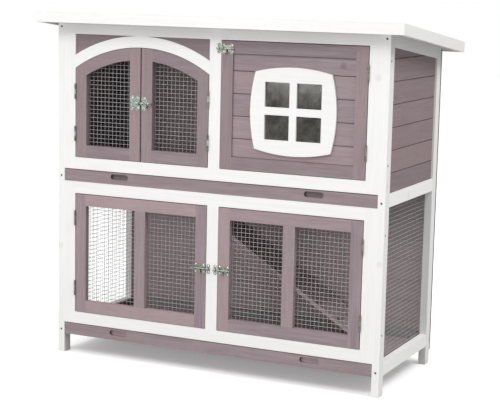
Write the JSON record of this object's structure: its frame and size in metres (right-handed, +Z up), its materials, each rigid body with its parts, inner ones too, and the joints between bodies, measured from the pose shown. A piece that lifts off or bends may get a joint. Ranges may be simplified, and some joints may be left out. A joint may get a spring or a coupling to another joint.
{
  "type": "rabbit hutch",
  "caption": "Two-storey timber hutch with arched mesh doors above, a window door, mesh doors below, pull-out trays, an inner ramp and a sloping roof.",
  "frame": {"origin": "ground level, under the middle of the roof", "axes": "+X to the right seen from the front, +Y from the front to the back, +Z up"},
  "size_m": [1.164, 0.554, 1.0501],
  "materials": {
    "painted_white": "white paint over planed softwood, satin",
    "stained_mauve": "grey-mauve stain over planed softwood, grain showing, matt",
    "zinc": "zinc-plated steel, dull",
    "mesh_wire": "galvanised welded wire",
    "roof_felt": "mineral roofing felt, rough",
    "clear_sheet": "clear plastic sheet"
  },
  "bodies": {
    "hutch_body": {"leg_front_left": "painted_white", "leg_front_right": "painted_white", "leg_rear_left": "painted_white", "leg_rear_right": "painted_white", "side_rails_left": "painted_white", "side_rails_right": "painted_white", "side_boards_left": "stained_mauve", "side_boards_right": "stained_mauve", "side_mesh_left": "mesh_wire", "side_mesh_right": "mesh_wire", "upper_stiles": "painted_white", "upper_rails": "painted_white", "lower_stiles": "painted_white", "lower_rails": "painted_white", "mid_stiles": "painted_white", "arch_board": "painted_white", "spandrels": "stained_mauve", "back_panel": "stained_mauve", "rear_rails": "painted_white", "partition": "stained_mauve", "floor_bearers": "stained_mauve", "tray_runners": "stained_mauve", "roof_rafters": "painted_white", "roof_deck": "stained_mauve", "roof_felt": "roof_felt", "fascia_front": "painted_white", "fascia_back": "painted_white", "fascia_sides": "painted_white", "frame_hinges": "zinc", "bolt_keeps": "zinc", "frame_screws": "zinc", "ramp_rod": "zinc"},
    "arch_door_left": {"arch_left_frame": "stained_mauve", "arch_left_mesh": "mesh_wire", "arch_left_metal": "zinc"},
    "arch_door_right": {"arch_right_frame": "stained_mauve", "arch_right_mesh": "mesh_wire", "arch_right_metal": "zinc"},
    "arch_bolt_bar": {"arch_bolt": "zinc"},
    "window_door": {"window_door_frame": "stained_mauve", "window_door_boards": "stained_mauve", "window_surround": "painted_white", "window_pane": "clear_sheet", "window_door_metal": "zinc"},
    "window_bolt_bar": {"window_bolt": "zinc"},
    "lower_door_left": {"lower_left_frame": "stained_mauve", "lower_left_mesh": "mesh_wire", "lower_left_metal": "zinc"},
    "lower_left_bolt_bar": {"lower_left_bolt": "zinc"},
    "lower_door_right": {"lower_right_frame": "stained_mauve", "lower_right_mesh": "mesh_wire", "lower_right_metal": "zinc"},
    "lower_right_bolt_bar": {"lower_right_bolt": "zinc"},
    "upper_tray": {"upper_tray_front": "stained_mauve", "upper_tray_pan": "stained_mauve"},
    "lower_tray": {"lower_tray_front": "stained_mauve", "lower_tray_pan": "stained_mauve"},
    "ramp": {"ramp_board": "stained_mauve", "ramp_treads": "stained_mauve", "ramp_brackets": "zinc"}
  },
  "joints": [
    {"name": "arch_door_left_hinge", "type": "hinge", "parent": "hutch_body", "child": "arch_door_left", "pos_m": [-0.4689, -0.2362, 0.749], "axis": [0, 0, -1], "range_deg": [0, 110]},
    {"name": "arch_door_right_hinge", "type": "hinge", "parent": "hutch_body", "child": "arch_door_right", "pos_m": [-0.0196, -0.2362, 0.749], "axis": [0, 0, 1], "range_deg": [0, 110]},
    {"name": "window_door_hinge", "type": "hinge", "parent": "hutch_body", "child": "window_door", "pos_m": [0.4689, -0.2362, 0.7995], "axis": [0, 0, 1], "range_deg": [0, 110]},
    {"name": "lower_door_left_hinge", "type": "hinge", "parent": "hutch_body", "child": "lower_door_left", "pos_m": [-0.4689, -0.2362, 0.31725], "axis": [0, 0, -1], "range_deg": [0, 110]},
    {"name": "lower_door_right_hinge", "type": "hinge", "parent": "hutch_body", "child": "lower_door_right", "pos_m": [0.4689, -0.2362, 0.31725], "axis": [0, 0, 1], "range_deg": [0, 110]},
    {"name": "arch_bolt_slide", "type": "slide", "parent": "arch_door_right", "child": "arch_bolt_bar", "axis": [-1, 0, 0], "range_m": [0, 0.0095]},
    {"name": "window_bolt_slide", "type": "slide", "parent": "window_door", "child": "window_bolt_bar", "axis": [-1, 0, 0], "range_m": [0, 0.006]},
    {"name": "lower_left_bolt_slide", "type": "slide", "parent": "lower_door_left", "child": "lower_left_bolt_bar", "axis": [1, 0, 0], "range_m": [0, 0.0065]},
    {"name": "lower_right_bolt_slide", "type": "slide", "parent": "lower_door_right", "child": "lower_right_bolt_bar", "axis": [-1, 0, 0], "range_m": [0, 0.0065]},
    {"name": "upper_tray_slide", "type": "slide", "parent": "hutch_body", "child": "upper_tray", "axis": [0, -1, 0], "range_m": [0, 0.36]},
    {"name": "lower_tray_slide", "type": "slide", "parent": "hutch_body", "child": "lower_tray", "axis": [0, -1, 0], "range_m": [0, 0.36]},
    {"name": "ramp_hinge", "type": "hinge", "parent": "hutch_body", "child": "ramp", "pos_m": [-0.344, 0.121, 0.5316], "axis": [0, -1, 0], "range_deg": [0, 20]}
  ]
}
